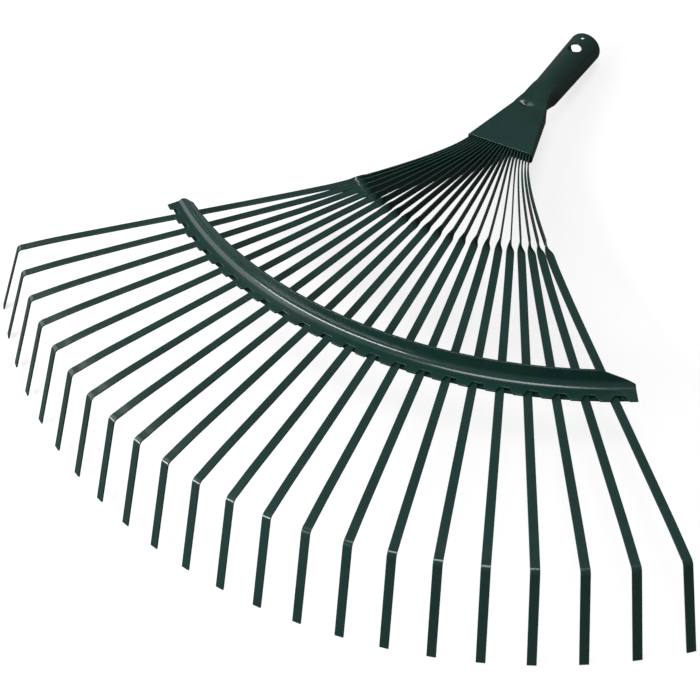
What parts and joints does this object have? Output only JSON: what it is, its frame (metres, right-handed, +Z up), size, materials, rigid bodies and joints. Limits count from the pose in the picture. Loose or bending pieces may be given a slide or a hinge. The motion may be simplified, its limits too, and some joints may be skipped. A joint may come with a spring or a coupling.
{
  "type": "fan rake head",
  "caption": "Fan-shaped lawn rake head: twisted spring-steel strip tines held on edge in a pressed ferrule with a round handle socket, spread by a curved notched brace.",
  "frame": {"origin": "middle of the footprint, on the ground that the outermost tine tips and the rim of the socket rest on", "axes": "+X across the fan, to the right for someone who looks from the tine tips towards the handle; +Y towards the handle socket, with the tines to -Y; +Z up"},
  "size_m": [0.4888, 0.4704, 0.057],
  "materials": {
    "enamel": "glossy dark green enamel",
    "bare_steel": "plain drawn steel wire"
  },
  "bodies": {
    "root": {"ferrule": "enamel", "tine_01": "enamel", "tine_02": "enamel", "tine_03": "enamel", "tine_04": "enamel", "tine_05": "enamel", "tine_06": "enamel", "tine_07": "enamel", "tine_08": "enamel", "tine_09": "enamel", "tine_10": "enamel", "tine_11": "enamel", "tine_12": "enamel", "tine_13": "enamel", "tine_14": "enamel", "tine_15": "enamel", "tine_16": "enamel", "tine_17": "enamel", "tine_18": "enamel", "tine_19": "enamel", "tine_20": "enamel", "tine_21": "enamel", "tine_22": "enamel", "brace_plate": "enamel", "retainer_plate": "enamel", "root_pin": "bare_steel"}
  },
  "joints": []
}
